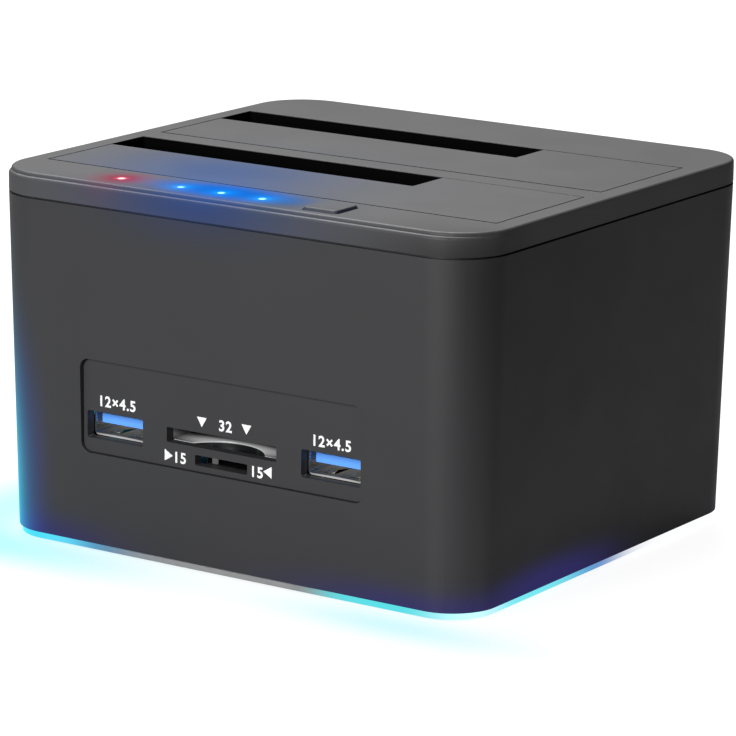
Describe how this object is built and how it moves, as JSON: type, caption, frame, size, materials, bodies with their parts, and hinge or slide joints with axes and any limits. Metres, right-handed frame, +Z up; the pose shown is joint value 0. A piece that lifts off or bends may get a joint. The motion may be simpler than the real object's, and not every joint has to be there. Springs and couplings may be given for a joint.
{
  "type": "twin-bay drive duplicator",
  "caption": "Desk-top dock with sprung flaps over upright drive bays, a copy key, status lights, front ports and card slots, and a lit base edge.",
  "frame": {"origin": "under the middle of the dock, on the surface its feet stand on", "axes": "+X to the right along the port panel, +Y from the port panel to the rear sockets, +Z up"},
  "size_m": [0.1126, 0.1026, 0.0745],
  "materials": {
    "housing_plastic": "fine-grained satin moulded plastic",
    "cover_plastic": "fine-grained satin moulded plastic, a little lighter",
    "inner_plastic": "plain moulded plastic",
    "light_guide": "milky diffusing plastic",
    "clear_plastic": "polished clear plastic",
    "rubber": "dull rubber",
    "plated_steel": "nickel-plated sheet",
    "spring_steel": "drawn spring wire",
    "screw_steel": "blackened steel",
    "circuit_board": "lacquered circuit board",
    "dark_circuit_board": "black lacquered circuit board",
    "blue_plastic": "moulded blue plastic",
    "black_plastic": "semi-gloss moulded plastic",
    "gold_contact": "gold-plated contact",
    "lamp": "lamp package with a clear top",
    "white_plastic": "moulded nylon",
    "lead_sheath": "flat lead's sheath"
  },
  "bodies": {
    "dock": {"main_housing": "housing_plastic", "top_cover": "cover_plastic", "base_plate": "inner_plastic", "light_ring": "light_guide", "rubber_feet": "rubber", "glow_board": "circuit_board", "glow_lamps": "lamp", "glow_lead": "lead_sheath", "base_screws": "screw_steel", "cradle_screws": "screw_steel", "main_board_screws": "screw_steel", "port_board_screws": "screw_steel", "indicator_board_screws": "screw_steel", "power_light_pipe": "clear_plastic", "copy_light_pipes": "clear_plastic", "indicator_board": "circuit_board", "indicator_lamps": "lamp", "button_switch": "black_plastic", "port_panel": "housing_plastic", "card_socket_sheet": "plated_steel", "card_socket_block": "black_plastic", "card_contacts": "gold_contact", "small_card_socket": "black_plastic", "small_card_contacts": "gold_contact", "port_board": "dark_circuit_board", "port_board_chips": "black_plastic", "board_link": "black_plastic", "drive_cradle": "inner_plastic", "main_board": "circuit_board", "main_board_chips": "black_plastic", "capacitors": "black_plastic", "power_jack": "black_plastic", "power_jack_pin": "plated_steel", "host_port_shell": "plated_steel", "host_port_block": "blue_plastic", "power_switch_frame": "black_plastic", "indicator_lead": "lead_sheath", "lead_sockets": "white_plastic", "port_shell_left": "plated_steel", "port_shell_right": "plated_steel", "port_tongue_left": "blue_plastic", "port_tongue_right": "blue_plastic", "port_contacts_left": "gold_contact", "port_contacts_right": "gold_contact", "flap_pin_front": "spring_steel", "flap_pin_rear": "spring_steel", "flap_spring_front": "spring_steel", "flap_spring_rear": "spring_steel", "drive_connector_front": "black_plastic", "drive_connector_rear": "black_plastic", "drive_contacts_front": "gold_contact", "drive_contacts_rear": "gold_contact"},
    "front_flap": {"flap_front": "cover_plastic"},
    "rear_flap": {"flap_rear": "cover_plastic"},
    "copy_key": {"copy_button": "cover_plastic", "button_plunger": "white_plastic"},
    "switch_key": {"power_rocker": "black_plastic"}
  },
  "joints": [
    {"name": "front_flap_hinge", "type": "hinge", "parent": "dock", "child": "front_flap", "pos_m": [0, -0.03515, 0.0719], "axis": [-1, 0, 0], "range_deg": [0, 90], "stiffness_Nm_per_rad": 0.003, "springref_deg": -45.84, "deforming": ["flap_spring_front"]},
    {"name": "rear_flap_hinge", "type": "hinge", "parent": "dock", "child": "rear_flap", "pos_m": [0, 0.00165, 0.0719], "axis": [-1, 0, 0], "range_deg": [0, 90], "stiffness_Nm_per_rad": 0.003, "springref_deg": -45.84, "deforming": ["flap_spring_rear"]},
    {"name": "copy_key_press", "type": "slide", "parent": "dock", "child": "copy_key", "axis": [0, 0, -1], "range_m": [0, 0.0005], "stiffness_N_per_m": 400, "springref_m": -0.001},
    {"name": "power_switch_rock", "type": "hinge", "parent": "dock", "child": "switch_key", "pos_m": [0.009, 0.04692, 0.03885], "axis": [0, 0, 1], "range_deg": [-18, 0]}
  ]
}
